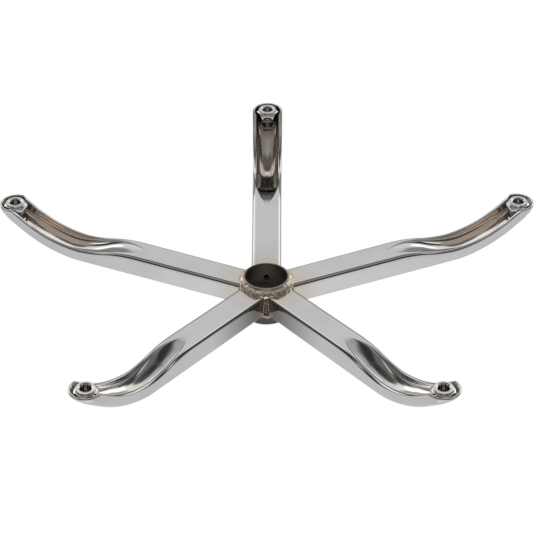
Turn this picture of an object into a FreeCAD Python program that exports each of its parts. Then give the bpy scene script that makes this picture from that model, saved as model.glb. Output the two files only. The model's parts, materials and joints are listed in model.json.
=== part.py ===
"""Five-star base of an office chair: five pressed steel arms welded round a taper hub."""
import FreeCAD, Part
import math
import os

# All sizes are in millimetres and degrees. The base stands on the mouths of its five caster
# sockets at z = 0, with the hub's axis on Z. One arm is made along +X and turned about the hub.

# Arms and caster circle
ARM_COUNT = 5
FIRST_ARM_DEG = 90.0
CASTER_CIRCLE_R = 311.0

# Arm tube: a rectangular tube that falls gently from the hub
ARM_WIDTH = 36.0
TUBE_HEIGHT = 26.0
TUBE_WALL = 2.0
SKIN_CHAMFER = 2.5
ARM_FALL_DEG = 5.0

# Arm tip: the tube bends down and ends in a half-round nose
BEND_R = 150.0
TIP_FALL_DEG = 38.0
TIP_RUN = 26.0
NOSE_SKIN_Z = 4.6
RIM_Z = 1.2

# Channel: the tube's underside is pressed up into the tube, which leaves a rolled lip each side.
# The press begins the ramp offset below the underside, so that the channel opens gently, and the
# tube stays hollow above a share of the floor's ramp.
PRESS_START_R = 158.0
LIP_RAMP = 76.0
FLOOR_RAMP = 88.0
PRESSED_HEIGHT = 15.5
FLOOR_THICKNESS = 3.6
FLOOR_CHAMFER = 7.0
RAMP_OFFSET = 1.1
HOLLOW_SHARE = 0.75
LIP_WIDTH = 4.6
NOSE_WALL = 2.4
NOSE_SIDE_WALL = 2.8
LIP_END_SETBACK = 3.0

# Caster socket: a hexagonal bush with a round face, welded to the channel's floor. The bore for
# the caster's stem is blind, and ends a web short of that floor.
STEM_BORE_D = 11.2
BORE_END_WEB = 0.3
HEX_SIDES = 6
HEX_FLATS = 24.6
RING_D = 21.8
RING_RISE = 1.2
SOCKET_BEAD = 2.4

# Hub: a short tube, bored to the gas lift's taper
HUB_HEIGHT = 50.0
HUB_BELOW_ARMS = 8.3
HUB_OUTER_D = 53.0
HUB_RIM_CHAMFER = 0.8
TAPER_LOW_D = 47.9
TAPER_HALF_DEG = 1.4378
VENT_D = 7.0
VENT_DROP = 2.0

# Welds at the hub
RING_BEAD_LEG = 6.4
RING_BEAD_RISE = 5.6
CORNER_BEAD_R = 4.2

# Room by which a cutting tool runs past what it cuts
PAST = 30.0

FALL = math.radians(ARM_FALL_DEG)
TIP_FALL = math.radians(TIP_FALL_DEG)
PITCH_DEG = 360.0 / ARM_COUNT
NOSE_R = CASTER_CIRCLE_R + ARM_WIDTH / 2
LIP_HALF = ARM_WIDTH / 2 - LIP_WIDTH
X_AXIS = FreeCAD.Vector(1, 0, 0)
Y_AXIS = FreeCAD.Vector(0, 1, 0)
Z_AXIS = FreeCAD.Vector(0, 0, 1)

# The skin is the arm's upper face. It is set out from the nose back to the hub.
BEND_END_R = NOSE_R - TIP_RUN
BEND_END_Z = NOSE_SKIN_Z + TIP_RUN * math.tan(TIP_FALL)
BEND_START_R = BEND_END_R - BEND_R * (math.sin(TIP_FALL) - math.sin(FALL))
BEND_START_Z = BEND_END_Z + BEND_R * (math.cos(FALL) - math.cos(TIP_FALL))
BEND_CENTRE_R = BEND_START_R - BEND_R * math.sin(FALL)
BEND_CENTRE_Z = BEND_START_Z - BEND_R * math.cos(FALL)

# The stem's bore goes as deep as the sloping floor allows at its outer edge
BORE_EDGE_Z = BEND_END_Z - (CASTER_CIRCLE_R + STEM_BORE_D / 2 - BEND_END_R) * math.tan(TIP_FALL)
STEM_BORE_DEPTH = BORE_EDGE_Z - FLOOR_THICKNESS / math.cos(TIP_FALL) - BORE_END_WEB

# The hub hangs on the arms: its height follows from where their undersides meet it
HUB_R = HUB_OUTER_D / 2
SKIN_AT_HUB_Z = BEND_START_Z + (BEND_START_R - HUB_R) * math.tan(FALL)
UNDERSIDE_AT_HUB_Z = SKIN_AT_HUB_Z - TUBE_HEIGHT / math.cos(FALL)
HUB_LOW_Z = UNDERSIDE_AT_HUB_Z - HUB_BELOW_ARMS
HUB_TOP_Z = HUB_LOW_Z + HUB_HEIGHT


def point(r, z, y=0.0):
    return FreeCAD.Vector(r, y, z)


def line(start, end):
    return Part.LineSegment(start, end).toShape()


def arc_from(start, direction, end):
    """Arc that leaves a point in a direction of the side view and passes through another."""
    across = FreeCAD.Vector(-direction.z, 0, direction.x)
    chord = end - start
    centre = start + across * (chord.Length ** 2 / (2 * across.dot(chord)))
    middle = (start + end) / 2 - centre
    middle.multiply((start - centre).Length / middle.Length)
    return Part.Arc(start, centre + middle, end).toShape()


def s_bend(start, start_direction, end, end_direction):
    """Two tangent arcs that join two points, each with its own direction."""
    chord = end - start
    both = chord.dot(start_direction + end_direction)
    spread = 2 * (1 - start_direction.dot(end_direction))
    reach = chord.Length ** 2 / (both + math.sqrt(both ** 2 + spread * chord.Length ** 2))
    joint = (start + start_direction * reach + end - end_direction * reach) / 2
    return [arc_from(start, start_direction, joint), arc_from(end, -end_direction, joint)]


def skin_at(r):
    """Height and fall angle of the arm's upper face at radius r."""
    if r <= BEND_START_R:
        return BEND_START_Z + (BEND_START_R - r) * math.tan(FALL), FALL
    if r >= BEND_END_R:
        return BEND_END_Z - (r - BEND_END_R) * math.tan(TIP_FALL), TIP_FALL
    angle = math.asin((r - BEND_CENTRE_R) / BEND_R)
    return BEND_CENTRE_Z + BEND_R * math.cos(angle), angle


def below_skin(r, depth):
    """Point at a depth below the skin, square to it, at skin radius r."""
    z, angle = skin_at(r)
    return point(r - depth * math.sin(angle), z - depth * math.cos(angle))


def along_skin(r):
    """Direction of the skin at radius r, away from the hub."""
    angle = skin_at(r)[1]
    return point(math.cos(angle), -math.sin(angle))


def parallel(depth, r_from, r_to):
    """Edges parallel to the skin at a depth below it, between two skin radii."""
    edges = []
    if r_from < BEND_START_R:
        edges.append(line(below_skin(r_from, depth), below_skin(BEND_START_R, depth)))
    bend_from = max(r_from, BEND_START_R)
    middle = (bend_from + BEND_END_R) / 2
    edges.append(Part.Arc(*[below_skin(r, depth) for r in (bend_from, middle, BEND_END_R)]).toShape())
    edges.append(line(below_skin(BEND_END_R, depth), below_skin(r_to, depth)))
    return edges


def pressed_curve(r_in, r_out, start_depth, end_depth, ramp):
    """Edges that follow the tube, then rise by a ramp to a line nearer to the skin."""
    ramp_end = PRESS_START_R + ramp
    start = below_skin(PRESS_START_R, start_depth)
    end = below_skin(ramp_end, end_depth)
    edges = [line(below_skin(r_in, start_depth), start)]
    edges += s_bend(start, along_skin(PRESS_START_R), end, along_skin(ramp_end))
    return edges + parallel(end_depth, ramp_end, r_out)


def underside_curve(r_in, r_out):
    """Edges of the tube's underside and then of the lips."""
    return pressed_curve(r_in, r_out, TUBE_HEIGHT, PRESSED_HEIGHT, LIP_RAMP)


def region(edges, level):
    """Face between a side curve, given from the hub outward, and a level line below it."""
    first = min((v.Point for v in edges[0].Vertexes), key=lambda p: p.x)
    last = max((v.Point for v in edges[-1].Vertexes), key=lambda p: p.x)
    closing = [line(last, point(last.x, level)), line(point(last.x, level), point(first.x, level))]
    closing.append(line(point(first.x, level), first))
    return Part.Face(Part.Wire(edges + closing))


def slab(face, half_width):
    """Solid of a side-view face, spread evenly to both sides of the arm."""
    moved = face.copy()
    moved.translate(-half_width * Y_AXIS)
    return moved.extrude(2 * half_width * Y_AXIS)


def plan_prism(r_in, low, high):
    """Upright solid of the arm's plan: straight sides and a half-round nose."""
    half = ARM_WIDTH / 2
    corners = [(r_in, -half), (r_in, half), (CASTER_CIRCLE_R, half), (CASTER_CIRCLE_R, -half)]
    corners = [point(r, low, y) for r, y in corners]
    nose = Part.Arc(corners[2], point(NOSE_R, low), corners[3]).toShape()
    edges = [line(corners[0], corners[1]), line(corners[1], corners[2]), nose, line(corners[3], corners[0])]
    return Part.Face(Part.Wire(edges)).extrude((high - low) * Z_AXIS)


def edges_on(solid, curve, from_middle):
    """Edges of a solid that lie over a side curve, at or beyond a distance from the arm's middle."""
    tolerance = 0.02
    picks = []
    for edge in solid.Edges:
        places = [edge.valueAt(edge.FirstParameter), edge.valueAt(edge.LastParameter)]
        places.append(edge.valueAt((edge.FirstParameter + edge.LastParameter) / 2))
        level = max(p.x for p in places) - min(p.x for p in places) < tolerance
        probes = [Part.Vertex(point(p.x, p.z)) for p in places]
        far = max(min(probe.distToShape(part)[0] for part in curve) for probe in probes)
        if far < tolerance and not level and abs(places[0].y) > from_middle - tolerance:
            picks.append(edge)
    return picks


def channel():
    """Solid that the press pushes into the arm, from its gentle start to the socket."""
    r_in = PRESS_START_R - PAST
    start_depth = TUBE_HEIGHT + RAMP_OFFSET
    curve = pressed_curve(r_in, CASTER_CIRCLE_R, start_depth, FLOOR_THICKNESS, FLOOR_RAMP)
    tool = slab(region(curve, -PAST), LIP_HALF)
    return tool.makeChamfer(FLOOR_CHAMFER, edges_on(tool, curve, LIP_HALF))


def nose_hollow():
    """Round hollow about the socket, inside the nose's thin wall."""
    radius = ARM_WIDTH / 2 - NOSE_SIDE_WALL
    well = Part.makeCylinder(radius, BEND_END_Z + PAST, point(NOSE_R - NOSE_WALL - radius, -PAST), Z_AXIS)
    start_r = CASTER_CIRCLE_R - LIP_END_SETBACK
    under = slab(region(parallel(FLOOR_THICKNESS, BEND_START_R, NOSE_R + PAST), -2 * PAST), ARM_WIDTH)
    beyond = Part.makeBox(PAST + ARM_WIDTH, 2 * ARM_WIDTH, 4 * PAST, point(start_r, -2 * PAST, -ARM_WIDTH))
    return well.common(under).common(beyond)


def tube_hollow(r_in):
    """Inside of the straight tube, which narrows to nothing above the channel's ramp."""
    half = ARM_WIDTH / 2 - TUBE_WALL
    low_r = PRESS_START_R - TUBE_WALL
    high_r = PRESS_START_R + HOLLOW_SHARE * FLOOR_RAMP
    top = [below_skin(r_in, TUBE_WALL), below_skin(high_r, TUBE_WALL)]
    low = [below_skin(low_r, TUBE_HEIGHT - TUBE_WALL), below_skin(r_in, TUBE_HEIGHT - TUBE_WALL)]
    return slab(Part.Face(Part.makePolygon(top + low + top[:1])), half)


def hub_cylinder():
    """Solid cylinder of the hub's outside, past both of its ends."""
    return Part.makeCylinder(HUB_R, HUB_HEIGHT + 2 * PAST, (HUB_LOW_Z - PAST) * Z_AXIS, Z_AXIS)


def arm_wedge():
    """Sector of one pitch, which mitres neighbouring arms against each other."""
    reach = 2 * NOSE_R
    spread = reach * math.tan(math.radians(PITCH_DEG / 2))
    corners = [FreeCAD.Vector(0, 0, -PAST), FreeCAD.Vector(reach, spread, -PAST)]
    corners.append(FreeCAD.Vector(reach, -spread, -PAST))
    face = Part.Face(Part.makePolygon(corners + corners[:1]))
    return face.extrude((HUB_TOP_Z + 2 * PAST) * Z_AXIS)


def arm_blank():
    """The arm as pressed, with the inside of its tube still full."""
    r_in = HUB_R / 2
    r_out = NOSE_R + PAST
    low = -2 * PAST
    skin = parallel(0.0, r_in, r_out)
    lips = underside_curve(r_in, r_out)
    arm = slab(region(skin, low), ARM_WIDTH).common(plan_prism(r_in, low - PAST, HUB_TOP_Z + PAST))
    arm = arm.makeChamfer(SKIN_CHAMFER, edges_on(arm, skin, ARM_WIDTH / 2))
    arm = arm.cut(slab(region(lips, low - PAST), ARM_WIDTH))
    arm = arm.cut(Part.makeBox(NOSE_R, 2 * ARM_WIDTH, PAST, point(r_in, RIM_Z - PAST, -ARM_WIDTH)))
    arm = arm.cut(channel()).cut(nose_hollow())
    arm = arm.common(arm_wedge()).cut(hub_cylinder())
    return arm.removeSplitter()


def make_hub():
    """Tube with a tapered bore, a chamfered lower rim and a vent into each arm."""
    taper = math.tan(math.radians(TAPER_HALF_DEG))
    low_r = TAPER_LOW_D / 2
    high_r = low_r + HUB_HEIGHT * taper
    hub = Part.makeCylinder(HUB_R, HUB_HEIGHT, HUB_LOW_Z * Z_AXIS, Z_AXIS)
    rim = [edge for edge in hub.Edges if edge.Closed and edge.BoundBox.ZMax < HUB_LOW_Z + HUB_HEIGHT / 2]
    hub = hub.makeChamfer(HUB_RIM_CHAMFER, rim)
    hub = hub.cut(Part.makeCone(low_r, high_r, HUB_HEIGHT, HUB_LOW_Z * Z_AXIS, Z_AXIS))
    vent_z = (SKIN_AT_HUB_Z + UNDERSIDE_AT_HUB_Z) / 2 - VENT_DROP
    for angle in arm_angles():
        vent = Part.makeCylinder(VENT_D / 2, HUB_OUTER_D, vent_z * Z_AXIS, X_AXIS)
        hub = hub.cut(turned(vent, angle))
    return hub


def hexagon(flats, low_z):
    """Upright hexagonal solid about the socket's axis, with a flat towards the hub."""
    corner_r = flats / 2 / math.cos(math.pi / HEX_SIDES)
    angles = [(2 * i + 1) * math.pi / HEX_SIDES for i in range(HEX_SIDES)]
    corners = [(corner_r * math.cos(angle), corner_r * math.sin(angle)) for angle in angles]
    outline = [point(CASTER_CIRCLE_R + x, low_z, y) for x, y in corners]
    return Part.Face(Part.makePolygon(outline + outline[:1])).extrude(PAST * Z_AXIS)


def make_socket(blank):
    """Hexagonal bush with a round face and a blind bore, cut to the slope of the channel's floor."""
    axis = point(CASTER_CIRCLE_R, 0)
    bush = hexagon(HEX_FLATS, RING_RISE).fuse(Part.makeCylinder(RING_D / 2, RING_RISE, axis, Z_AXIS))
    bush = bush.cut(Part.makeCylinder(STEM_BORE_D / 2, STEM_BORE_DEPTH, axis, Z_AXIS))
    return nearest_solid(bush.cut(blank), axis)


def nearest_solid(shape, place):
    """The solid of a shape that lies nearest to a place."""
    return min(shape.Solids, key=lambda solid: solid.distToShape(Part.Vertex(place))[0])


def make_socket_bead(blank):
    """Weld bead on the channel's floor, along the bush's flat that faces the hub."""
    depths = (FLOOR_THICKNESS, FLOOR_THICKNESS + SOCKET_BEAD)
    faces = [region(parallel(depth, BEND_START_R, NOSE_R + PAST), -2 * PAST) for depth in depths]
    layer = slab(faces[0].cut(faces[1]), ARM_WIDTH)
    flat_r = CASTER_CIRCLE_R - HEX_FLATS / 2
    length = HEX_FLATS * math.tan(math.pi / HEX_SIDES)
    strip = Part.makeBox(SOCKET_BEAD, length, 4 * PAST, point(flat_r - SOCKET_BEAD, -2 * PAST, -length / 2))
    return strip.common(layer).cut(blank)


def make_ring_bead(corner_z, lift, blanks):
    """Weld bead round the hub, in the corner between its wall and the arms' faces."""
    foot = point(HUB_R + RING_BEAD_LEG, corner_z)
    sunk = point(foot.x, corner_z - lift * TUBE_WALL)
    top = point(HUB_R, corner_z + lift * RING_BEAD_RISE)
    profile = Part.makePolygon([foot, top, point(HUB_R, sunk.z), sunk, foot])
    bead = Part.Face(profile).revolve(FreeCAD.Vector(), Z_AXIS, 360)
    for blank in blanks:
        bead = bead.cut(blank)
    return bead


def make_corner_bead(angle, blanks, ring_beads):
    """Upright weld bead in the corner between two neighbouring arms."""
    corner_r = ARM_WIDTH / 2 / math.sin(math.radians(PITCH_DEG / 2))
    foot = point(corner_r, UNDERSIDE_AT_HUB_Z)
    length = SKIN_AT_HUB_Z - SKIN_CHAMFER - UNDERSIDE_AT_HUB_Z
    bead = turned(Part.makeCylinder(CORNER_BEAD_R, length, foot, Z_AXIS), angle)
    bead = bead.cut(hub_cylinder())
    for other in blanks + ring_beads:
        bead = bead.cut(other)
    return bead


def arm_angles():
    return [FIRST_ARM_DEG + PITCH_DEG * i for i in range(ARM_COUNT)]


def turned(shape, angle):
    """Copy of a shape, turned about the hub's axis."""
    copy = shape.copy()
    copy.rotate(FreeCAD.Vector(), Z_AXIS, angle)
    return copy


def save(name, shape):
    shape.exportStep(os.path.join("parts", name + ".step"))


def main():
    os.makedirs("parts", exist_ok=True)
    blank = arm_blank()
    arm = blank.cut(tube_hollow(HUB_R / 2))
    socket = make_socket(blank)
    socket_bead = make_socket_bead(blank)
    blanks = [turned(blank, angle) for angle in arm_angles()]
    rings = [make_ring_bead(UNDERSIDE_AT_HUB_Z, -1, blanks), make_ring_bead(SKIN_AT_HUB_Z, 1, blanks)]
    beads = list(rings)
    save("hub_tube", make_hub())
    for number, angle in enumerate(arm_angles(), start=1):
        save(f"arm_{number}", turned(arm, angle))
        save(f"caster_socket_{number}", turned(socket, angle))
        beads.append(turned(socket_bead, angle))
        beads.append(make_corner_bead(angle + PITCH_DEG / 2, blanks, rings))
    save("weld_beads", Part.makeCompound(beads))


main()
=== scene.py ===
"""Dressed five-star chair base: chromed pressed arms, taper hub, caster bushes and weld beads."""
import json
import math
import bmesh
import bpy
import numpy as np
from mathutils import Matrix, Vector


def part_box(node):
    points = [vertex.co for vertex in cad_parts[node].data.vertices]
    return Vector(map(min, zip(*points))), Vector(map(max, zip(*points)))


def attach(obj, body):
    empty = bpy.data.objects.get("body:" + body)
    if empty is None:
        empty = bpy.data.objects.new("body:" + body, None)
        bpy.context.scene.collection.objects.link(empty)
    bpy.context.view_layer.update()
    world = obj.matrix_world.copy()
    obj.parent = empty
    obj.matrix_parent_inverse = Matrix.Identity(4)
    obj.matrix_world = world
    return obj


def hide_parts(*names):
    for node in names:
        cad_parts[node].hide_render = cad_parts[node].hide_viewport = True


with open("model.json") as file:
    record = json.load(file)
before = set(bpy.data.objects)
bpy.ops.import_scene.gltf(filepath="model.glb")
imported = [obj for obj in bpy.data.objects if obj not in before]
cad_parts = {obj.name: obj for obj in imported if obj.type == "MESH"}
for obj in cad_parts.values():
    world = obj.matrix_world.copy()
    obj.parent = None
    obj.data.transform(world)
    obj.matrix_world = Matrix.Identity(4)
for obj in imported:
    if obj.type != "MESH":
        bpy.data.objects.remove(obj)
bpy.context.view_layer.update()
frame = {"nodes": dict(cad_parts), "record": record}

# Lengths below are in millimetres until a mesh is made from them. One arm is made along +X and
# turned about the hub's axis.
MM = 0.001
BODY = "root"
ARM_COUNT = 5
FIRST_ARM_DEG = 90.0
PITCH_DEG = 360.0 / ARM_COUNT


def box_mm(node):
    """Lowest and highest corners of a node, in millimetres."""
    return [np.array(corner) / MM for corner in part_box(node)]


mounts = {mount["name"]: mount for mount in frame["record"]["mounts"]}
hub_low, hub_high = box_mm("hub_tube")
arm_low, arm_high = box_mm("arm_1")
CASTER_R = mounts["caster_circle"]["dims"]["pcd_mm"] / 2
BORE_R = mounts["caster_socket_1"]["dims"]["r_mm"]
BORE_DEPTH = mounts["caster_socket_1"]["dims"]["length_mm"]
HUB_R = hub_high[0]
HUB_LOW_Z = hub_low[2]
NOSE_R = arm_high[1]
RIM_Z = arm_low[2]

# Skin of the arm: its upper face, set out from the nose back to the hub
FALL = math.radians(5.0)
TIP_FALL = math.radians(38.0)
BEND_R = 150.0
TIP_RUN = 26.0
NOSE_SKIN_Z = 4.6
BEND_END_R = NOSE_R - TIP_RUN
BEND_CENTRE_R = BEND_END_R - BEND_R * math.sin(TIP_FALL)
BEND_CENTRE_Z = NOSE_SKIN_Z + TIP_RUN * math.tan(TIP_FALL) - BEND_R * math.cos(TIP_FALL)

# Tube and pressed channel
TUBE_HEIGHT = 26.0
TUBE_WALL = 2.0
PRESSED_HEIGHT = 15.5
FLOOR_THICKNESS = 3.6
PRESS_START_R = 158.0
LIP_RAMP = 76.0
FLOOR_START_R = 146.0
FLOOR_RAMP = 100.0
HALF_WIDTH_AT = {"hub": (30.0, 17.1), "bend": (225.0, 17.9), "nose": (300.0, 18.6)}
SKIN_ROUND_AT = {"tube": (236.0, 3.0), "tip": (300.0, 9.0)}
ROUND_SHARE = 0.7
LIP_WIDTH_AT = {"channel": (304.5, 4.6), "nose": (307.5, 2.5)}
LOWER_ROUND_AT = {
    "tube": (165.0, 3.6),
    "channel": (235.0, 2.5),
    "tip": (298.0, 2.3),
    "nose": (308.0, 1.1),
}
INNER_ROUND = 0.30
INNER_FALL_SHARE = 0.5
DISH_EXPONENT_AT = {
    "start": (170.0, 1.9),
    "bend": (235.0, 2.2),
    "channel": (285.0, 2.7),
    "nose": (306.0, 5.0),
}
DISH_OPENS_OVER = 7.0
DISH_LEAST_HALF = 4.0
WALL_EDGE = 0.4
NOSE_INSET = 0.15
START_DEPTH = 0.8
MASKS = ("inside", "start", "middle", "lip", "wall")

# Points of a half section, and sections along the arm
SKIN_SAMPLES = 3000
ROUND_STEPS = 9
FLAT_STEPS = 9
WALL_STEPS = 4
LIP_STEPS = 4
DISH_STEPS = 22
HUB_STATIONS = 9
HUB_CROWDING = 1.4
STRAIGHT_STATIONS = 12
PRESSED_STATIONS = 96
NOSE_STATIONS = 48

# Hub end of an arm: it stops inside the hub's wall and is mitred against its neighbours
HUB_SINK = 0.5
JOIN_R = 48.0
TUBE_END_R = 120.0
MITRE = math.tan(math.radians(PITCH_DEG / 2))


def easing(t):
    """Rise from 0 to 1 along two equal parabolas."""
    t = np.clip(t, 0.0, 1.0)
    return np.where(t < 0.5, 2 * t * t, 1 - 2 * (1 - t) ** 2)


def between(low, high, count):
    """Evenly spaced values between two ends, without the ends."""
    return np.linspace(low, high, count + 2)[1:-1]


def along(r, places):
    """Value at radius r between named places, each given as a radius and a value."""
    return np.interp(r, [p[0] for p in places.values()], [p[1] for p in places.values()])


def skin(r):
    """Height and fall of the arm's upper face at radius r."""
    r = np.asarray(r, dtype=float)
    sine = np.clip((r - BEND_CENTRE_R) / BEND_R, math.sin(FALL), math.sin(TIP_FALL))
    fall = np.arcsin(sine)
    touch_r = BEND_CENTRE_R + BEND_R * sine
    touch_z = BEND_CENTRE_Z + BEND_R * np.cos(fall)
    return touch_z - (r - touch_r) * np.tan(fall), fall


def below_skin(r, end_depth, ramp, start_r=PRESS_START_R):
    """Height at radius r of a line that leaves the tube's underside for a depth below the skin."""
    skin_r = np.linspace(0.0, NOSE_R + TUBE_HEIGHT, SKIN_SAMPLES)
    z, fall = skin(skin_r)
    depth = TUBE_HEIGHT + (end_depth - TUBE_HEIGHT) * easing((skin_r - start_r) / ramp)
    return np.interp(r, skin_r - depth * np.sin(fall), z - depth * np.cos(fall))


def lip_height(r):
    """Height of the tube's underside and then of the lips, no lower than the nose's rim."""
    return np.maximum(below_skin(r, PRESSED_HEIGHT, LIP_RAMP), RIM_Z)


def channel_floor(r):
    """Height of the channel's floor, which starts to rise a little before the lips do."""
    return below_skin(r, FLOOR_THICKNESS, FLOOR_RAMP, FLOOR_START_R)


def channel_depth(r):
    """Depth of the channel's floor above the lips."""
    return np.maximum(channel_floor(r) - lip_height(r), 0.0)


def arm_section(origin_r, direction):
    """Half section of the arm from the middle of its skin round to the middle of its channel.

    It gives radius, side and height for each point, its distance from the arm's middle, and masks
    for the channel, the channel's start and middle, the lip's outer roll and the wall.
    """
    out_r, out_y = direction
    half = along(origin_r, HALF_WIDTH_AT)
    edge_r = origin_r + half * out_r
    wall = skin(edge_r)[0] - lip_height(edge_r)
    top_round = min(along(origin_r, SKIN_ROUND_AT), ROUND_SHARE * wall)
    lip = along(origin_r, LIP_WIDTH_AT)
    depth = channel_depth(origin_r)
    lip_round = min(along(origin_r, LOWER_ROUND_AT), (1 - ROUND_SHARE) * wall)
    opening = math.sqrt(1 - (1 - min(depth / DISH_OPENS_OVER, 1.0)) ** 2)
    dish_half = max((half - lip) * opening, DISH_LEAST_HALF)
    inner_fall = min(INNER_ROUND * lip, INNER_FALL_SHARE * depth)
    inner_side = max(inner_fall, INNER_ROUND)
    exponent = 2 / along(origin_r, DISH_EXPONENT_AT)

    turn = np.linspace(0.0, math.pi / 2, ROUND_STEPS)
    flat = np.linspace(0.0, 1.0, FLAT_STEPS)
    flat_half = half - top_round
    skin_w = np.concatenate([flat_half * flat, flat_half + top_round * np.sin(turn[1:])])
    drop = np.concatenate([0 * flat, top_round * (1 - np.cos(turn[1:]))])
    skin_z = skin(origin_r + skin_w * out_r)[0] - drop

    wall_w = np.full(WALL_STEPS, half)
    wall_share = between(0.0, 1.0, WALL_STEPS)
    wall_high = skin_z[-1]
    wall_low = lip_height(edge_r) + lip_round
    wall_z = wall_high + (wall_low - wall_high) * wall_share

    roll = turn[::2]
    lip_w = np.concatenate([half - lip_round * (1 - np.cos(roll)),
                            between(half - lip_round, dish_half + inner_side, LIP_STEPS),
                            dish_half + inner_side * (1 - np.sin(roll))])
    lift = np.concatenate([lip_round * (1 - np.sin(roll)),
                           np.zeros(LIP_STEPS),
                           inner_fall * (1 - np.cos(roll))])
    lip_z = lip_height(origin_r + lip_w * out_r) + lift

    sweep = np.linspace(math.pi / 2, 0.0, DISH_STEPS + 1)[1:]
    dish_w = dish_half * np.sin(sweep) ** exponent
    dish_r = origin_r + dish_w * out_r
    rise = np.maximum(channel_depth(dish_r) - inner_fall, 0.0)
    dish_z = lip_height(dish_r) + inner_fall + rise * np.cos(sweep) ** exponent

    w = np.concatenate([skin_w, wall_w, lip_w, dish_w])
    z = np.concatenate([skin_z, wall_z, lip_z, dish_z])
    inside = np.concatenate([np.zeros(len(w) - len(dish_w)), np.ones(len(dish_w))])
    # Mask for the painted dark reflection at the channel's start
    start = inside * min(depth / START_DEPTH, 1.0)
    inside = inside * min(depth / DISH_OPENS_OVER, 1.0)
    outer = (lip_w > half - lip_round) * 1.0
    lips = np.concatenate([0 * skin_w, 0 * wall_w, outer, 0 * dish_w])
    walls = (w > half - WALL_EDGE) * 1.0
    middle = np.concatenate([np.zeros(len(w) - len(dish_w)), 1 - dish_w / dish_half])
    masks = {"inside": inside, "start": start, "middle": middle, "lip": lips, "wall": walls}
    return {"r": origin_r + w * out_r, "y": w * out_y, "z": z, "w": w, **masks}


def hub_end(section, share):
    """Section moved towards the hub's wall: share 1 stays where it is, 0 lies in the wall."""
    moved = dict(section)
    in_wall = np.sqrt(np.maximum((HUB_R - HUB_SINK) ** 2 - section["w"] ** 2, 0.0))
    start = np.maximum(in_wall, section["w"] / MITRE)
    moved["r"] = start + (JOIN_R - start) * share
    shift = moved["r"] - JOIN_R
    moved["z"] = section["z"] - shift * math.tan(FALL)
    return moved


def tube_inside(section, r, share):
    """Section shrunk to the tube's inside, at radius r or, where r is None, where it was."""
    shrunk = dict(section)
    middle = (section["z"].max() + section["z"].min()) / 2
    shrunk["y"] = section["y"] * share
    shrunk["z"] = middle + (section["z"] - middle) * share
    if r is not None:
        shrunk["z"] = shrunk["z"] - (r - section["r"]) * math.tan(FALL)
        shrunk["r"] = np.full(len(section["r"]), r)
    return shrunk


def arm_stations():
    """Sections of the arm in order: out along one side, round the nose and back along the other."""
    inner_share = 1 - TUBE_WALL / TUBE_HEIGHT * 2
    hub_shares = np.linspace(0.0, 1.0, HUB_STATIONS) ** HUB_CROWDING
    straight = between(JOIN_R, FLOOR_START_R, STRAIGHT_STATIONS)
    nose_centre = NOSE_R - NOSE_INSET - along(NOSE_R, HALF_WIDTH_AT)
    pressed = np.linspace(FLOOR_START_R, nose_centre, PRESSED_STATIONS)
    sides = []
    for side in (1.0, -1.0):
        join = arm_section(JOIN_R, (0.0, side))
        mouth = hub_end(join, 0.0)
        run = [tube_inside(mouth, TUBE_END_R, 0.0), tube_inside(mouth, TUBE_END_R, inner_share)]
        run += [tube_inside(mouth, None, inner_share)]
        run += [hub_end(join, share) for share in hub_shares]
        run += [arm_section(r, (0.0, side)) for r in np.concatenate([straight, pressed])]
        sides.append(run)
    turns = between(0.0, math.pi, NOSE_STATIONS)
    nose = [arm_section(nose_centre, (math.sin(turn), math.cos(turn))) for turn in turns]
    return sides[0] + nose + sides[1][::-1]


MERGE = 1e-6


def mesh_from_grid(name, grid, close_rows=False, close_columns=False, masks=None):
    """Mesh of a grid of points in millimetres, with doubles merged and normals outward."""
    rows, columns = grid.shape[:2]
    bm = bmesh.new()
    layers = {key: bm.verts.layers.float.new(key) for key in (masks or {})}
    verts = []
    for i in range(rows):
        for j in range(columns):
            vert = bm.verts.new(Vector(grid[i, j]) * MM)
            for key, layer in layers.items():
                vert[layer] = masks[key][i, j]
            verts.append(vert)
    for i in range(rows if close_rows else rows - 1):
        for j in range(columns if close_columns else columns - 1):
            i2 = (i + 1) % rows
            j2 = (j + 1) % columns
            corners = [(i, j), (i2, j), (i2, j2), (i, j2)]
            bm.faces.new([verts[a * columns + b] for a, b in corners])
    bmesh.ops.remove_doubles(bm, verts=bm.verts, dist=MERGE)
    bmesh.ops.dissolve_degenerate(bm, edges=bm.edges, dist=MERGE)
    bmesh.ops.recalc_face_normals(bm, faces=bm.faces)
    for face in bm.faces:
        face.smooth = True
    mesh = bpy.data.meshes.new(name)
    bm.to_mesh(mesh)
    bm.free()
    return mesh


def add_piece(name, mesh, material, turn_deg=0.0, nodes=()):
    """Object of a mesh's copy, turned about the hub's axis, that rides on the base for CAD nodes."""
    turned = mesh.copy()
    turned.name = name
    turned.transform(Matrix.Rotation(math.radians(turn_deg), 4, "Z"))
    turned.materials.append(material)
    piece = bpy.data.objects.new(name, turned)
    bpy.context.scene.collection.objects.link(piece)
    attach(piece, BODY)
    if nodes:
        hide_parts(*nodes)
    return piece


def arm_mesh():
    stations = arm_stations()
    grid = np.array([np.stack([s["r"], s["y"], s["z"]], axis=1) for s in stations])
    masks = {key: np.array([s[key] for s in stations]) for key in MASKS}
    return mesh_from_grid("arm_dressed", grid, masks=masks)


# Caster bush: hexagonal head with a turned face, on a narrower shank that stands on the floor
HEX_SIDES = 6
HEX_APOTHEM = 12.3
HEX_CORNER_R = 13.8
FACE_R = 10.7
FACE_RISE = 2.4
FACE_ROUND = 0.6
HEAD_HEIGHT = 12.5
SHANK_R = 9.6
MOUTH_CHAMFER = 1.0
HEX_CHAMFER = math.tan(math.radians(30.0))
SHANK_SINK = 1.0
BUSH_STEPS = 144
FACE_STEPS = 6

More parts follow.
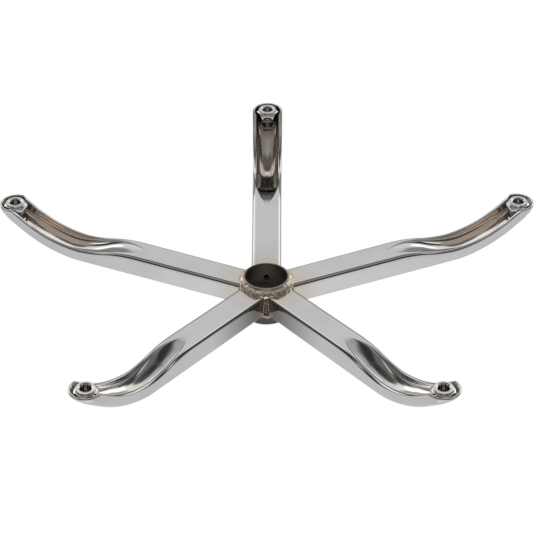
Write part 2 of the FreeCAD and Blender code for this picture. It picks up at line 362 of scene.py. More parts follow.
# Loops beside the bush's edges, which keep them crisp
MOUTH_HOLD = 1.15
MOUTH_EDGE_R = 0.12
MOUTH_EDGE_Z = 0.08
FACE_FOOT_R = 0.1
FACE_FOOT_Z = 0.02
HEX_FACE_INSET = 0.5
HEX_FACE_FALL = 0.2
CHAMFER_HOLD_R = 0.15
CHAMFER_HOLD_Z = 0.06
HEX_EDGE_Z = 0.1
BASE_EDGE_R = 0.25
BASE_EDGE_Z = 0.3


def bush_mesh():
    turns = np.linspace(0.0, 2 * math.pi, BUSH_STEPS, endpoint=False)
    pitch = 2 * math.pi / HEX_SIDES
    apothem_turn = (turns + pitch / 2) % pitch - pitch / 2
    hexagon = np.minimum(HEX_APOTHEM / np.cos(apothem_turn), HEX_CORNER_R)
    ones = np.ones(len(turns))
    past_face = np.maximum(hexagon - HEX_APOTHEM + HEX_FACE_INSET, 0.0)
    chamfer_z = FACE_RISE + HEX_FACE_FALL + past_face * HEX_CHAMFER
    floor_r = CASTER_R + SHANK_R * np.cos(turns)
    foot_z = channel_floor(floor_r) + SHANK_SINK
    head_z = np.minimum(HEAD_HEIGHT, foot_z - SHANK_SINK)
    rings = [
        (0 * ones, BORE_DEPTH * ones),
        (BORE_R * ones, BORE_DEPTH * ones),
        (BORE_R * ones, MOUTH_CHAMFER * MOUTH_HOLD * ones),
        (BORE_R * ones, MOUTH_CHAMFER * ones),
        ((BORE_R + MOUTH_CHAMFER) * ones, MOUTH_EDGE_Z * ones),
        ((BORE_R + MOUTH_CHAMFER + MOUTH_EDGE_R) * ones, 0 * ones),
    ]
    for turn in np.linspace(0.0, math.pi / 2, FACE_STEPS):
        ring_r = FACE_R - FACE_ROUND + FACE_ROUND * math.sin(turn)
        rings.append((ring_r * ones, FACE_ROUND * (1 - math.cos(turn)) * ones))
    rings += [
        (FACE_R * ones, FACE_RISE * ones),
        ((FACE_R + FACE_FOOT_R) * ones, (FACE_RISE + FACE_FOOT_Z) * ones),
        ((HEX_APOTHEM - HEX_FACE_INSET) * ones, (FACE_RISE + HEX_FACE_FALL) * ones),
        (hexagon - CHAMFER_HOLD_R, chamfer_z - CHAMFER_HOLD_Z),
        (hexagon, chamfer_z + HEX_EDGE_Z),
        (hexagon, head_z - BASE_EDGE_Z),
        (hexagon - BASE_EDGE_R, head_z),
        (SHANK_R * ones, head_z),
        (SHANK_R * ones, foot_z),
        (0 * ones, foot_z.min() * ones),
    ]
    grid = np.zeros((len(rings), len(turns), 3))
    bore = np.zeros(grid.shape[:2])
    for i, (radius, z) in enumerate(rings):
        grid[i, :, 0] = CASTER_R + radius * np.cos(turns)
        grid[i, :, 1] = radius * np.sin(turns)
        grid[i, :, 2] = z
        # Painted shade: the bore's share grows with depth
        depth_share = np.clip(z / BORE_DEPTH, 0.0, 1.0)
        bore[i] = (radius <= BORE_R) * np.sqrt(depth_share)
    return mesh_from_grid("bush_dressed", grid, close_columns=True, masks={"bore": bore})


# Weld beads: lumpy fillets round the hub, upright runs in the corners, and a run by each bush
RING_LEG = 5.8
RING_RISE = 6.4
RING_FULLNESS = 1.5
RIPPLES = 118
SLOW_WAVES = (3, 7, 13, 23)
LUMP_WAVES = (11, 17, 26, 37)
SLOW_SHARE = 0.13
LUMP_SHARE = 0.10
RIPPLE_SHARE = 0.03
RIPPLE_SHIFT = 3.0
RIPPLE_SEED = 3
RING_STEPS = 720
RING_SWEEP = (-0.35, math.pi / 2)
RING_SWEEP_STEPS = 22
RUN_STEPS = 90
RUN_SIDES = 20
RUN_END_POWER = 8
RUN_SWELL = 0.35
RUN_RIPPLE_SHARE = 0.08
RUN_RIPPLES = 16
RUN_WANDER = 0.25
WANDER_SEED = 5
UPRIGHT = 0.5


def wobble(t, seed, waves=SLOW_WAVES):
    """Unevenness of a hand-made bead along a share t of its length, about 0."""
    rng = np.random.default_rng(seed)
    total = np.zeros_like(t)
    for wave in waves:
        total += np.sin(2 * math.pi * (wave * t + rng.random()))
    return total / len(waves)


def ring_bead_mesh(name, corner_z, lift, seed):
    turns = np.linspace(0.0, 2 * math.pi, RING_STEPS, endpoint=False)
    share = turns / (2 * math.pi)
    slow = SLOW_SHARE * wobble(share, seed)
    lumps = [LUMP_SHARE * wobble(share, seed + side, LUMP_WAVES) for side in (1, 2)]
    shift = RIPPLE_SHIFT * wobble(share, seed + RIPPLE_SEED)
    ripple = RIPPLE_SHARE * np.abs(np.sin(RIPPLES * turns / 2 + shift))
    sweep = np.linspace(*RING_SWEEP, RING_SWEEP_STEPS)
    grid = np.zeros((len(turns), len(sweep) + 2, 3))
    for j, angle in enumerate(sweep):
        leg = (abs(math.cos(angle)) / RING_LEG) ** RING_FULLNESS
        rise = (abs(math.sin(angle)) / RING_RISE) ** RING_FULLNESS
        lump = lumps[0] * math.cos(angle) ** 2 + lumps[1] * math.sin(2 * angle)
        uneven = 1 + slow + lump + ripple * math.sin(2 * angle)
        reach = (leg + rise) ** (-1 / RING_FULLNESS) * uneven
        grid[:, j, 0] = HUB_R + reach * math.cos(angle)
        grid[:, j, 2] = corner_z + lift * reach * math.sin(angle)
    grid[:, -2, 0] = HUB_R - HUB_SINK
    grid[:, -2, 2] = grid[:, -3, 2]
    grid[:, -1, 0] = HUB_R - HUB_SINK
    grid[:, -1, 2] = corner_z - lift * TUBE_WALL
    radius = grid[:, :, 0].copy()
    grid[:, :, 0] = radius * np.cos(turns)[:, None]
    grid[:, :, 1] = radius * np.sin(turns)[:, None]
    return mesh_from_grid(name, grid, close_rows=True, close_columns=True)


def run_bead_grid(start, end, radius, seed):
    """Grid of a straight lumpy bead between two points, with closed ends."""
    start = np.array(start)
    end = np.array(end)
    axis = (end - start) / np.linalg.norm(end - start)
    helper = np.array([0.0, 1.0, 0.0]) if abs(axis[2]) > UPRIGHT else np.array([0.0, 0.0, 1.0])
    across = np.cross(axis, helper)
    across /= np.linalg.norm(across)
    other = np.cross(axis, across)
    share = np.linspace(0.0, 1.0, RUN_STEPS)
    turns = np.linspace(0.0, 2 * math.pi, RUN_SIDES, endpoint=False)
    taper = np.sqrt(np.clip(1 - (2 * share - 1) ** RUN_END_POWER, 0.0, 1.0))
    ripple = RUN_RIPPLE_SHARE * np.sin(2 * math.pi * RUN_RIPPLES * share)
    size = radius * taper * (1 + RUN_SWELL * wobble(share, seed) + ripple)
    wander = wobble(share, seed + WANDER_SEED)
    ring = np.outer(np.cos(turns), across) + np.outer(np.sin(turns), other)
    grid = np.zeros((RUN_STEPS, RUN_SIDES, 3))
    for i in range(RUN_STEPS):
        centre = start + (end - start) * share[i] + across * RUN_WANDER * radius * wander[i]
        grid[i] = centre + size[i] * ring
    return grid


HUB_FACE_Z = float(lip_height(HUB_R))
HUB_SKIN_Z = float(skin(HUB_R)[0])
CORNER_R = along(HUB_R, HALF_WIDTH_AT) / math.sin(math.radians(PITCH_DEG / 2))


# Materials
def new_material(name):
    material = bpy.data.materials.new(name)
    material.use_nodes = True
    nodes = material.node_tree.nodes
    return material, nodes, material.node_tree.links, nodes["Principled BSDF"]


def noise(nodes, links, coords, scale, detail=4.0, stretch=None):
    """Noise texture on given coordinates, stretched along the axes if asked."""
    texture = nodes.new("ShaderNodeTexNoise")
    texture.inputs["Scale"].default_value = scale
    texture.inputs["Detail"].default_value = detail
    if stretch:
        mapping = nodes.new("ShaderNodeMapping")
        mapping.inputs["Scale"].default_value = stretch
        links.new(coords, mapping.inputs["Vector"])
        coords = mapping.outputs["Vector"]
    links.new(coords, texture.inputs["Vector"])
    return texture.outputs["Fac"]


def remap(nodes, links, value, from_low, from_high, to_low=0.0, to_high=1.0):
    """Value moved linearly from one range to another, and held within it."""
    node = nodes.new("ShaderNodeMapRange")
    node.inputs["From Min"].default_value = from_low
    node.inputs["From Max"].default_value = from_high
    node.inputs["To Min"].default_value = to_low
    node.inputs["To Max"].default_value = to_high
    links.new(value, node.inputs["Value"])
    return node.outputs["Result"]


def maths(nodes, links, operation, first, second):
    node = nodes.new("ShaderNodeMath")
    node.operation = operation
    for socket, value in zip(node.inputs, (first, second)):
        if isinstance(value, (int, float)):
            socket.default_value = value
        else:
            links.new(value, socket)
    return node.outputs["Value"]


def mix_colour(nodes, links, share, first, second):
    node = nodes.new("ShaderNodeMix")
    node.data_type = "RGBA"
    links.new(share, node.inputs["Factor"])
    for socket, value in ((node.inputs["A"], first), (node.inputs["B"], second)):
        if isinstance(value, tuple):
            socket.default_value = value + (1.0,)
        else:
            links.new(value, socket)
    return node.outputs["Result"]


def bump(nodes, links, height, strength, distance):
    node = nodes.new("ShaderNodeBump")
    node.inputs["Strength"].default_value = strength
    node.inputs["Distance"].default_value = distance
    links.new(height, node.inputs["Height"])
    return node.outputs["Normal"]


def attribute(nodes, name):
    node = nodes.new("ShaderNodeAttribute")
    node.attribute_name = name
    return node.outputs["Fac"]


def object_coords(nodes, links):
    """Object coordinates, and the distance from the hub's axis."""
    coords = nodes.new("ShaderNodeTexCoord").outputs["Object"]
    flat = nodes.new("ShaderNodeVectorMath")
    flat.operation = "MULTIPLY"
    flat.inputs[1].default_value = (1.0, 1.0, 0.0)
    links.new(coords, flat.inputs[0])
    length = nodes.new("ShaderNodeVectorMath")
    length.operation = "LENGTH"
    links.new(flat.outputs["Vector"], length.inputs[0])
    return coords, length.outputs["Value"]


CHROME = (0.60, 0.60, 0.605)
CHROME_CLOUD = (0.57, 0.57, 0.575)
CHANNEL_TINT = (0.74, 0.635, 0.53)
# Painted sheen: lighter, greyer colour in the channels of the two front arms
CHANNEL_PAINTED_SHEEN = (0.82, 0.78, 0.745)
# Painted highlight: a pale line along the middle of the channel floors
STREAK_HIGHLIGHT = (0.95, 0.905, 0.84)
# Painted dark reflection at the starts of the back and front channels
START_DARK_REFLECTION = (0.085, 0.080, 0.074)
CHANNEL_DARK = (0.070, 0.056, 0.044)
# Painted shade on the walls in the corner between the two front arms
CORNER_PAINTED_SHADE = (0.085, 0.078, 0.072)
HEAT_TINT = (0.55, 0.48, 0.39)
RIM_GOLD = (0.50, 0.40, 0.25)
AGED_METALLIC = 0.90

# Noises are given as scale, detail and stretch, bumps as strength and distance. The edge of a mark,
# be it a stain, a tint, painted shade or painted light, runs in metres from none to full, its patches
# in values of a noise. Two more numbers are the shares at both ends, which are otherwise 0 and 1.
CLOUD_NOISE = (24.0, 5.0)
CLOUD_EDGE = (0.42, 0.62)
BLOTCH_NOISE = (38.0, 3.0)
WAVE_NOISE = (45.0, 2.0, (0.5, 1.0, 1.0))
WAVE_BUMP = (0.06, 0.0006)
CHROME_ROUGH = (0.35, 0.70, 0.055, 0.11)
HEAT_EDGE_R = (0.066, 0.031)
HEAT_PATCHES = (0.30, 0.62, 0.45, 1.0)
HEAT_ROUGH = 0.12
# Edges of the painted shade in the corner between the two front arms
CORNER_SHADE_EDGE_Y = (-0.020, -0.040)
CORNER_SHADE_EDGE_R = (0.125, 0.045, 0.0, 0.9)
# Edge of the painted sheen in the front arms' channels
FRONT_SHEEN_EDGE_Y = (-0.09, -0.14)
TIP_EDGE_R = (0.288, 0.312)
AGED_EDGE_R = (0.195, 0.238)
AGED_PATCHES = (0.30, 0.60, 0.80, 1.0)
# Where the back arm and the front arms lie: the painted dark reflection at the channel starts, and the
# back arm's darker channel
BACK_ARM_EDGE_Y = (0.090, 0.130, 0.0, 0.96)
FRONT_REFLECTION_EDGE_Y = (-0.060, -0.120, 0.0, 0.5)
START_REFLECTION_EDGE_R = (0.252, 0.208)
BACK_DARKENING_SHARE = 0.40
# Edges of the painted highlight along the channel floors
STREAK_HIGHLIGHT_EDGE = (0.62, 0.95)
STREAK_HIGHLIGHT_EDGE_R = (0.295, 0.250)
GOLD_EDGE_R = (0.300, 0.310)
GOLD_PATCHES = (0.34, 0.56, 0.3, 1.0)


def chrome_material():
    material, nodes, links, shader = new_material("chrome_arm")
    coords, radius = object_coords(nodes, links)
    cloud = noise(nodes, links, coords, *CLOUD_NOISE)
    blotch = noise(nodes, links, coords, *BLOTCH_NOISE)
    inside = attribute(nodes, "inside")
    lip = attribute(nodes, "lip")
    plated = mix_colour(nodes, links, remap(nodes, links, cloud, *CLOUD_EDGE), CHROME, CHROME_CLOUD)
    heat = remap(nodes, links, radius, *HEAT_EDGE_R)
    heat = maths(nodes, links, "MULTIPLY", heat, remap(nodes, links, blotch, *HEAT_PATCHES))
    plated = mix_colour(nodes, links, heat, plated, HEAT_TINT)
    axes = nodes.new("ShaderNodeSeparateXYZ")
    links.new(coords, axes.inputs["Vector"])
    # Painted shade: the walls in the corner between the two front arms darken towards the hub
    in_corner = remap(nodes, links, axes.outputs["Y"], *CORNER_SHADE_EDGE_Y)
    near_hub = remap(nodes, links, radius, *CORNER_SHADE_EDGE_R)
    in_corner = maths(nodes, links, "MULTIPLY", in_corner, near_hub)
    corner_shade = maths(nodes, links, "MULTIPLY", attribute(nodes, "wall"), in_corner)
    plated = mix_colour(nodes, links, corner_shade, plated, CORNER_PAINTED_SHADE)
    # The channels' oxide colour, with painted sheen making it lighter and greyer on the two front arms
    front = remap(nodes, links, axes.outputs["Y"], *FRONT_SHEEN_EDGE_Y)
    oxide_and_sheen = mix_colour(nodes, links, front, CHANNEL_TINT, CHANNEL_PAINTED_SHEEN)
    oxide_and_sheen = mix_colour(nodes, links, remap(nodes, links, radius, *TIP_EDGE_R), oxide_and_sheen, CHANNEL_DARK)
    aged = maths(nodes, links, "MULTIPLY", inside, remap(nodes, links, radius, *AGED_EDGE_R))
    share = maths(nodes, links, "MULTIPLY", aged, remap(nodes, links, blotch, *AGED_PATCHES))
    colour = mix_colour(nodes, links, share, plated, oxide_and_sheen)
    back_arm = remap(nodes, links, axes.outputs["Y"], *BACK_ARM_EDGE_Y)
    # The back arm's channel is made darker
    back_darkening = maths(nodes, links, "MULTIPLY", aged, back_arm)
    back_darkening = maths(nodes, links, "MULTIPLY", back_darkening, BACK_DARKENING_SHARE)
    colour = mix_colour(nodes, links, back_darkening, colour, CHANNEL_DARK)
    # Painted highlight: a pale line along the middle of each channel's floor
    streak_highlight = remap(nodes, links, attribute(nodes, "middle"), *STREAK_HIGHLIGHT_EDGE)
    streak_highlight = maths(nodes, links, "MULTIPLY", aged, streak_highlight)
    streak_highlight = maths(nodes, links, "MULTIPLY", streak_highlight, remap(nodes, links, radius, *STREAK_HIGHLIGHT_EDGE_R))
    colour = mix_colour(nodes, links, streak_highlight, colour, STREAK_HIGHLIGHT)
    # Painted dark reflection: the starts of the back and front channels are darkened in the base colour
    front_reflection = remap(nodes, links, axes.outputs["Y"], *FRONT_REFLECTION_EDGE_Y)
    start = maths(nodes, links, "MAXIMUM", back_arm, front_reflection)
    start = maths(nodes, links, "MULTIPLY", start, remap(nodes, links, radius, *START_REFLECTION_EDGE_R))
    start = maths(nodes, links, "MULTIPLY", start, attribute(nodes, "start"))
    colour = mix_colour(nodes, links, start, colour, START_DARK_REFLECTION)
    gold = maths(nodes, links, "MULTIPLY", lip, remap(nodes, links, radius, *GOLD_EDGE_R))
    gold = maths(nodes, links, "MULTIPLY", gold, remap(nodes, links, blotch, *GOLD_PATCHES))
    colour = mix_colour(nodes, links, gold, colour, RIM_GOLD)
    links.new(colour, shader.inputs["Base Color"])
    rough = remap(nodes, links, cloud, *CHROME_ROUGH)
    rough = maths(nodes, links, "ADD", rough, maths(nodes, links, "MULTIPLY", heat, HEAT_ROUGH))
    links.new(rough, shader.inputs["Roughness"])
    waves = noise(nodes, links, coords, *WAVE_NOISE)
    links.new(bump(nodes, links, waves, *WAVE_BUMP), shader.inputs["Normal"])
    bare = maths(nodes, links, "SUBTRACT", aged, streak_highlight)
    links.new(remap(nodes, links, bare, 0.0, 1.0, 1.0, AGED_METALLIC), shader.inputs["Metallic"])
    return material


# Painted shade: the hub's outside is coloured dark in place of a shaded reflection
HUB_PAINTED_SHADE = (0.095, 0.087, 0.08)
BORE_STEEL = (0.15, 0.135, 0.122)
# Painted shade in the middle of the hub's bore
BORE_PAINTED_SHADE = (0.022, 0.020, 0.018)
RIM_BROWN = (0.27, 0.215, 0.17)
RIM_TINT = (0.62, 0.53, 0.44)
HUB_BLOTCH_NOISE = (90.0, 6.0)
HUB_RINGS_NOISE = (60.0, 3.0, (1.0, 1.0, 14.0))
HUB_RINGS_SHARE = (0.45, 0.75, 0.0, 0.10)
HUB_ROUGH = (0.3, 0.7, 0.38, 0.58)
HUB_BUMP = (0.15, 0.0003)
BORE_EDGE_MM = (1.2, 1.6)
BORE_DARKENS_MM = (0.0, 26.0)
BORE_LIGHTENS_MM = (35.0, 45.0)
RIM_EDGE_MM = (9.0, 6.0)
RIM_PATCHES = (0.35, 0.60, 0.65, 1.0)


def hub_material():
    """Steel with a turned bore, painted dark as shade outside and mid-bore; tinted near its lower rim.
    Heights are above that rim.
    """
    material, nodes, links, shader = new_material("hub_steel")
    coords, radius = object_coords(nodes, links)
    blotch = noise(nodes, links, coords, *HUB_BLOTCH_NOISE)
    rings = noise(nodes, links, coords, *HUB_RINGS_NOISE)
    height = nodes.new("ShaderNodeSeparateXYZ")
    links.new(coords, height.inputs["Vector"])
    height = height.outputs["Z"]
    in_bore = remap(nodes, links, radius, *[(HUB_R - depth) * MM for depth in BORE_EDGE_MM])
    # Painted shade: darker up the bore from its lower rim, and lighter again near its upper end
    deep = remap(nodes, links, height, *[(HUB_LOW_Z + rise) * MM for rise in BORE_DARKENS_MM])
    lightens = [(HUB_LOW_Z + rise) * MM for rise in BORE_LIGHTENS_MM]
    upper = remap(nodes, links, height, *lightens, 1.0, 0.0)
    deep = maths(nodes, links, "MULTIPLY", deep, upper)
    bore = mix_colour(nodes, links, deep, BORE_STEEL, BORE_PAINTED_SHADE)
    bore = mix_colour(nodes, links, remap(nodes, links, rings, *HUB_RINGS_SHARE), bore, RIM_BROWN)
    at_rim = remap(nodes, links, height, *[(HUB_LOW_Z + rise) * MM for rise in RIM_EDGE_MM])
    at_rim = maths(nodes, links, "MULTIPLY", at_rim, remap(nodes, links, blotch, *RIM_PATCHES))
    at_rim = maths(nodes, links, "MULTIPLY", at_rim, maths(nodes, links, "SUBTRACT", 1.0, in_bore))
    # Painted shade outside; the bore keeps its own colour, with painted shade in its middle
    colour = mix_colour(nodes, links, in_bore, HUB_PAINTED_SHADE, bore)
    colour = mix_colour(nodes, links, at_rim, colour, RIM_TINT)
    links.new(colour, shader.inputs["Base Color"])
    links.new(remap(nodes, links, blotch, *HUB_ROUGH), shader.inputs["Roughness"])
    links.new(bump(nodes, links, rings, *HUB_BUMP), shader.inputs["Normal"])
    shader.inputs["Metallic"].default_value = 1.0
    return material


BUSH_STEEL = (0.72, 0.71, 0.695)
BUSH_STAIN = (0.58, 0.55, 0.51)
# Painted shade in the bore, darker with depth
BUSH_BORE_SHADE = (0.11, 0.095, 0.085)
BUSH_NOISE = (120.0, 3.0)
BUSH_STAIN_EDGE = (0.45, 0.68)
BUSH_ROUGH = (0.3, 0.7, 0.03, 0.08)
BUSH_BUMP = (0.06, 0.0004)


def bush_material():
    material, nodes, links, shader = new_material("bush_steel")
    coords = nodes.new("ShaderNodeTexCoord").outputs["Object"]
    blotch = noise(nodes, links, coords, *BUSH_NOISE)
    in_bore = attribute(nodes, "bore")
    stained = remap(nodes, links, blotch, *BUSH_STAIN_EDGE)
    plated = mix_colour(nodes, links, stained, BUSH_STEEL, BUSH_STAIN)
    # Painted shade in the bore
    links.new(mix_colour(nodes, links, in_bore, plated, BUSH_BORE_SHADE), shader.inputs["Base Color"])
    links.new(remap(nodes, links, blotch, *BUSH_ROUGH), shader.inputs["Roughness"])
    links.new(bump(nodes, links, blotch, *BUSH_BUMP), shader.inputs["Normal"])
    shader.inputs["Metallic"].default_value = 1.0
    return material


WELD_PLATE = (0.86, 0.775, 0.67)
WELD_BURN = (0.58, 0.475, 0.37)
CORNER_PLATE = (0.36, 0.305, 0.25)
CORNER_BURN = (0.17, 0.135, 0.105)
WELD_BLOTCH_NOISE = (130.0, 7.0)
WELD_GRAIN_NOISE = (210.0, 2.5)
WELD_BURN_EDGE = (0.42, 0.66)
WELD_ROUGH = (0.3, 0.7, 0.20, 0.36)
WELD_BUMP = (0.12, 0.0010)


def weld_material(name, plate, burn):
    material, nodes, links, shader = new_material(name)
    coords = nodes.new("ShaderNodeTexCoord").outputs["Object"]
    blotch = noise(nodes, links, coords, *WELD_BLOTCH_NOISE)
    grain = noise(nodes, links, coords, *WELD_GRAIN_NOISE)
    colour = mix_colour(nodes, links, remap(nodes, links, blotch, *WELD_BURN_EDGE), plate, burn)
    links.new(colour, shader.inputs["Base Color"])
    links.new(remap(nodes, links, grain, *WELD_ROUGH), shader.inputs["Roughness"])
    links.new(bump(nodes, links, grain, *WELD_BUMP), shader.inputs["Normal"])
    shader.inputs["Metallic"].default_value = 1.0
    return material


# Studio: white to the eye. The metal sees a white backdrop and table, soft boxes, strips and narrow
# glints of light at both sides, a grey ceiling and dark screens. Directions are given in the part's
# frame, in which the photograph's ceiling is below the part. Both sides of the studio are alike. A
# surface fades in between the two cosines of its edge, and a dark screen hides that share of the light.
DARK_LEVEL = 0.015
CEILING = {"towards": (0.0, 0.0, -1.0), "edge": (-0.06, 0.12), "level": 0.34}
BACKDROP = {"towards": (0.0, 0.80, -0.60), "edge": (0.93, 0.975), "level": 0.86}
SOFT_BOX = {"towards": (0.31, 0.69, -0.655), "edge": (0.94, 0.975), "level": 1.0}
STRIP = {"towards": (0.72, 0.59, -0.37), "edge": (0.94, 0.98), "level": 1.6}
GLINT = {"towards": (0.45, 0.74, -0.50), "edge": (0.984, 0.994), "level": 1.7}
LOW_GLINT = {"towards": (0.62, -0.05, -0.78), "edge": (0.984, 0.994), "level": 1.5}
TABLE = {"towards": (0.0, 0.0, 1.0), "edge": (0.02, 0.16), "level": 0.80}
TABLE_FRONT = {"towards": (0.0, -0.75, 0.66), "edge": (0.55, 0.88), "level": 1.0}
DARK_SIDE = {"towards": (0.84, 0.22, -0.50), "edge": (0.93, 0.975), "level": 0.95}
DARK_ABOVE = {"towards": (0.12, 0.44, -0.89), "edge": (0.957, 0.985), "level": 0.75}
DARK_GLINT = {"towards": (0.60, 0.30, -0.74), "edge": (0.965, 0.99), "level": 0.92}
DARK_FRONT = {"towards": (0.48, -0.75, -0.45), "edge": (0.91, 0.975), "level": 0.97}
LIGHT_SURFACES = (CEILING, BACKDROP, SOFT_BOX, STRIP, GLINT, LOW_GLINT, TABLE, TABLE_FRONT)
DARK_SCREENS = (DARK_SIDE, DARK_ABOVE, DARK_GLINT, DARK_FRONT)


def studio_level(nodes, links, direction, surface):
    """Level of a surface of the studio in a direction, which fades to nothing at its edge."""
    facing = nodes.new("ShaderNodeVectorMath")
    facing.operation = "DOT_PRODUCT"
    facing.inputs[1].default_value = surface["towards"]
    links.new(direction, facing.inputs[0])
    return remap(nodes, links, facing.outputs["Value"], *surface["edge"], 0.0, surface["level"])


def studio_world():
    """White for camera rays; reflections and light see the surfaces of the studio."""
    world = bpy.data.worlds.new("studio")
    world.use_nodes = True
    bpy.context.scene.world = world
    nodes = world.node_tree.nodes
    links = world.node_tree.links
    background = nodes["Background"]
    split = nodes.new("ShaderNodeSeparateXYZ")
    links.new(nodes.new("ShaderNodeTexCoord").outputs["Generated"], split.inputs["Vector"])
    folded = nodes.new("ShaderNodeCombineXYZ")
    links.new(maths(nodes, links, "ABSOLUTE", split.outputs["X"], 0.0), folded.inputs["X"])
    links.new(split.outputs["Y"], folded.inputs["Y"])
    links.new(split.outputs["Z"], folded.inputs["Z"])
    direction = folded.outputs["Vector"]
    strength = DARK_LEVEL
    for surface in LIGHT_SURFACES:
        level = studio_level(nodes, links, direction, surface)
        strength = maths(nodes, links, "MAXIMUM", level, strength)
    for screen in DARK_SCREENS:
        hidden = studio_level(nodes, links, direction, screen)
        left = maths(nodes, links, "SUBTRACT", 1.0, hidden)
        strength = maths(nodes, links, "MULTIPLY", strength, left)
    seen = nodes.new("ShaderNodeLightPath").outputs["Is Camera Ray"]
    unseen = maths(nodes, links, "SUBTRACT", 1.0, seen)
    strength = maths(nodes, links, "MULTIPLY", strength, unseen)
    links.new(maths(nodes, links, "ADD", strength, seen), background.inputs["Strength"])
    background.inputs["Color"].default_value = (1.0, 1.0, 1.0, 1.0)


FLOOR_SIZE = 60.0
FLOOR_WHITE = (0.86, 0.86, 0.86)
FLOOR_ROUGH = 0.9
FLOOR_FADE = (0.45, 1.1)


def studio_floor():
    """Plain floor at the caster mouths, seen from above only, that fades to white around the part."""
    mesh = bpy.data.meshes.new("floor")
    half = FLOOR_SIZE / 2
    corners = [(-half, -half, 0), (half, -half, 0), (half, half, 0), (-half, half, 0)]
    mesh.from_pydata(corners, [], [(0, 1, 2, 3)])
    floor = bpy.data.objects.new("floor", mesh)
    bpy.context.scene.collection.objects.link(floor)
    material, nodes, links, shader = new_material("floor_white")
    shader.inputs["Base Color"].default_value = FLOOR_WHITE + (1.0,)
    shader.inputs["Roughness"].default_value = FLOOR_ROUGH
    radius = object_coords(nodes, links)[1]
    white = nodes.new("ShaderNodeEmission")
    fade = nodes.new("ShaderNodeMixShader")
    links.new(remap(nodes, links, radius, *FLOOR_FADE), fade.inputs["Fac"])
    links.new(shader.outputs["BSDF"], fade.inputs[1])
    links.new(white.outputs["Emission"], fade.inputs[2])
    clear = nodes.new("ShaderNodeBsdfTransparent")
    choose = nodes.new("ShaderNodeMixShader")
    links.new(nodes.new("ShaderNodeNewGeometry").outputs["Backfacing"], choose.inputs["Fac"])
    links.new(fade.outputs["Shader"], choose.inputs[1])
    links.new(clear.outputs["BSDF"], choose.inputs[2])
    links.new(choose.outputs["Shader"], nodes["Material Output"].inputs["Surface"])
    mesh.materials.append(material)
    floor.visible_shadow = False
    floor.visible_glossy = False


LAMP_TARGET = (0.0, 0.0, 0.05)
LAMPS = {
    "key_above": {"place": (-1.2, -1.4, 2.2), "size": 1.6, "power": 40.0},
    "fill_above": {"place": (1.6, 0.8, 1.8), "size": 1.6, "power": 20.0},
    "key_below": {"place": (0.9, 0.6, -2.2), "size": 1.4, "power": 30.0},
}


def area_lamp(name, place, size, power):
    lamp = bpy.data.lights.new(name, "AREA")
    lamp.shape = "SQUARE"
    lamp.size = size
    lamp.energy = power
    holder = bpy.data.objects.new(name, lamp)
    holder.location = place
    aim = Vector(LAMP_TARGET) - Vector(place)
    holder.rotation_euler = aim.to_track_quat("-Z", "Y").to_euler()
    holder.visible_glossy = False
    bpy.context.scene.collection.objects.link(holder)


# Camera: the photograph shows the base turned over, so it looks up from below with its own up
# pointing down
PHOTO_SIZE = 540.0
ELEVATION = math.radians(35.43)
DISTANCE = 2.0813
FOCAL_PX = 1817.7
YAW = math.radians(-0.586)
ROLL = math.radians(-0.42)
HUB_PIXEL = (266.2, 275.7)
SENSOR = 36.0
CLIP_END = 50.0


def photo_camera():
    data = bpy.data.cameras.new("photo_camera")
    data.sensor_fit = "HORIZONTAL"
    data.sensor_width = SENSOR
    data.lens = FOCAL_PX * SENSOR / PHOTO_SIZE
    data.shift_x = (PHOTO_SIZE / 2 - HUB_PIXEL[0]) / PHOTO_SIZE
    data.shift_y = (HUB_PIXEL[1] - PHOTO_SIZE / 2) / PHOTO_SIZE
    data.clip_end = CLIP_END
    camera = bpy.data.objects.new("photo_camera", data)
    turn = Matrix.Rotation(YAW, 3, "Z")
    right = turn @ Vector((-1.0, 0.0, 0.0))
    up = turn @ Vector((0.0, math.sin(ELEVATION), -math.cos(ELEVATION)))
    back = turn @ Vector((0.0, -math.cos(ELEVATION), -math.sin(ELEVATION)))
    rolled_right = right * math.cos(ROLL) + up * math.sin(ROLL)
    rolled_up = up * math.cos(ROLL) - right * math.sin(ROLL)
    place = Vector((0.0, 0.0, HUB_LOW_Z * MM)) + back * DISTANCE
    axes = Matrix((rolled_right, rolled_up, back)).transposed()
    camera.matrix_world = Matrix.Translation(place) @ axes.to_4x4()
    bpy.context.scene.collection.objects.link(camera)
    bpy.context.scene.camera = camera


# Where the beads lie: two thin runs over a filling run in each corner between arms, and one by each
# bush. Each bead's unevenness is drawn from a seed of its own.
CORNER_BEAD_R = 0.9
CORNER_FILL_R = 1.9
CORNER_RUNS = {"a": (1.0, CORNER_BEAD_R), "b": (-1.0, CORNER_BEAD_R), "fill": (0.0, CORNER_FILL_R)}
CORNER_SPREAD = {"foot": 2.4, "top": 6.6}
CORNER_END_Z = {"foot": HUB_FACE_Z - 0.5, "top": HUB_SKIN_Z - 1.0}
CORNER_SEED_STEP = 10
BUSH_BEAD_HALF = 6.5
BUSH_BEAD_R = 1.2
BUSH_SEED = 100
LOWER_SEED = 1
UPPER_SEED = 2


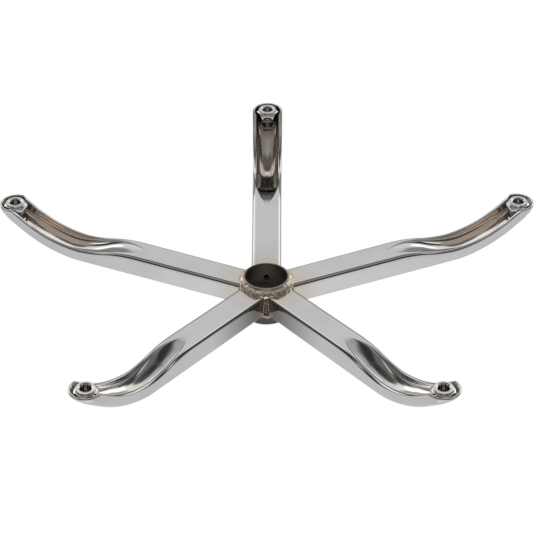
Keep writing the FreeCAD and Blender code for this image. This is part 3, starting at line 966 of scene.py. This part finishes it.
def corner_bead_mesh(side, bead_radius, seed):
    """Upright bead in the corner on +X, spread to a side from its foot to its top."""
    half_pitch = math.radians(PITCH_DEG / 2)
    ends = []
    for end, end_z in CORNER_END_Z.items():
        spread = CORNER_SPREAD[end] * abs(side)
        end_r = CORNER_R + spread * math.cos(half_pitch)
        ends.append((end_r, side * spread * math.sin(half_pitch), end_z))
    points = run_bead_grid(*ends, bead_radius, seed)
    return mesh_from_grid("corner_bead", points, close_columns=True)


def bush_bead_mesh(seed):
    """Bead across the channel's floor at the hub side of a bush."""
    bead_r = CASTER_R - HEX_APOTHEM
    bead_z = float(channel_floor(bead_r))
    ends = [(bead_r, side * BUSH_BEAD_HALF, bead_z) for side in (-1.0, 1.0)]
    points = run_bead_grid(*ends, BUSH_BEAD_R, seed)
    return mesh_from_grid("bush_bead", points, close_columns=True)


photo_camera()
bpy.context.scene.view_settings.view_transform = "Standard"
studio_world()
studio_floor()
for lamp_name, lamp_values in LAMPS.items():
    area_lamp(lamp_name, **lamp_values)

chrome = chrome_material()
bush_steel = bush_material()
weld_metal = weld_material("weld_metal", WELD_PLATE, WELD_BURN)
corner_weld = weld_material("corner_weld", CORNER_PLATE, CORNER_BURN)
arm = arm_mesh()
bush = bush_mesh()
for number in range(1, ARM_COUNT + 1):
    turn_deg = FIRST_ARM_DEG + PITCH_DEG * (number - 1)
    add_piece(f"arm_{number}_dressed", arm, chrome, turn_deg, [f"arm_{number}"])
    add_piece(f"bush_{number}", bush, bush_steel, turn_deg, [f"caster_socket_{number}"])
    for order, (run_name, (side, bead_radius)) in enumerate(CORNER_RUNS.items()):
        bead = corner_bead_mesh(side, bead_radius, CORNER_SEED_STEP * number + order)
        name = f"corner_bead_{number}_{run_name}"
        add_piece(name, bead, corner_weld, turn_deg + PITCH_DEG / 2)
    bead = bush_bead_mesh(BUSH_SEED + number)
    add_piece(f"bush_bead_{number}", bead, corner_weld, turn_deg)
lower_ring = ring_bead_mesh("hub_ring_lower", HUB_FACE_Z, -1.0, LOWER_SEED)
add_piece("hub_ring_lower", lower_ring, weld_metal, 0.0, ["weld_beads"])
upper_ring = ring_bead_mesh("hub_ring_upper", HUB_SKIN_Z, 1.0, UPPER_SEED)
add_piece("hub_ring_upper", upper_ring, corner_weld)

hub = frame["nodes"]["hub_tube"]
hub.data.materials.clear()
hub.data.materials.append(hub_material())
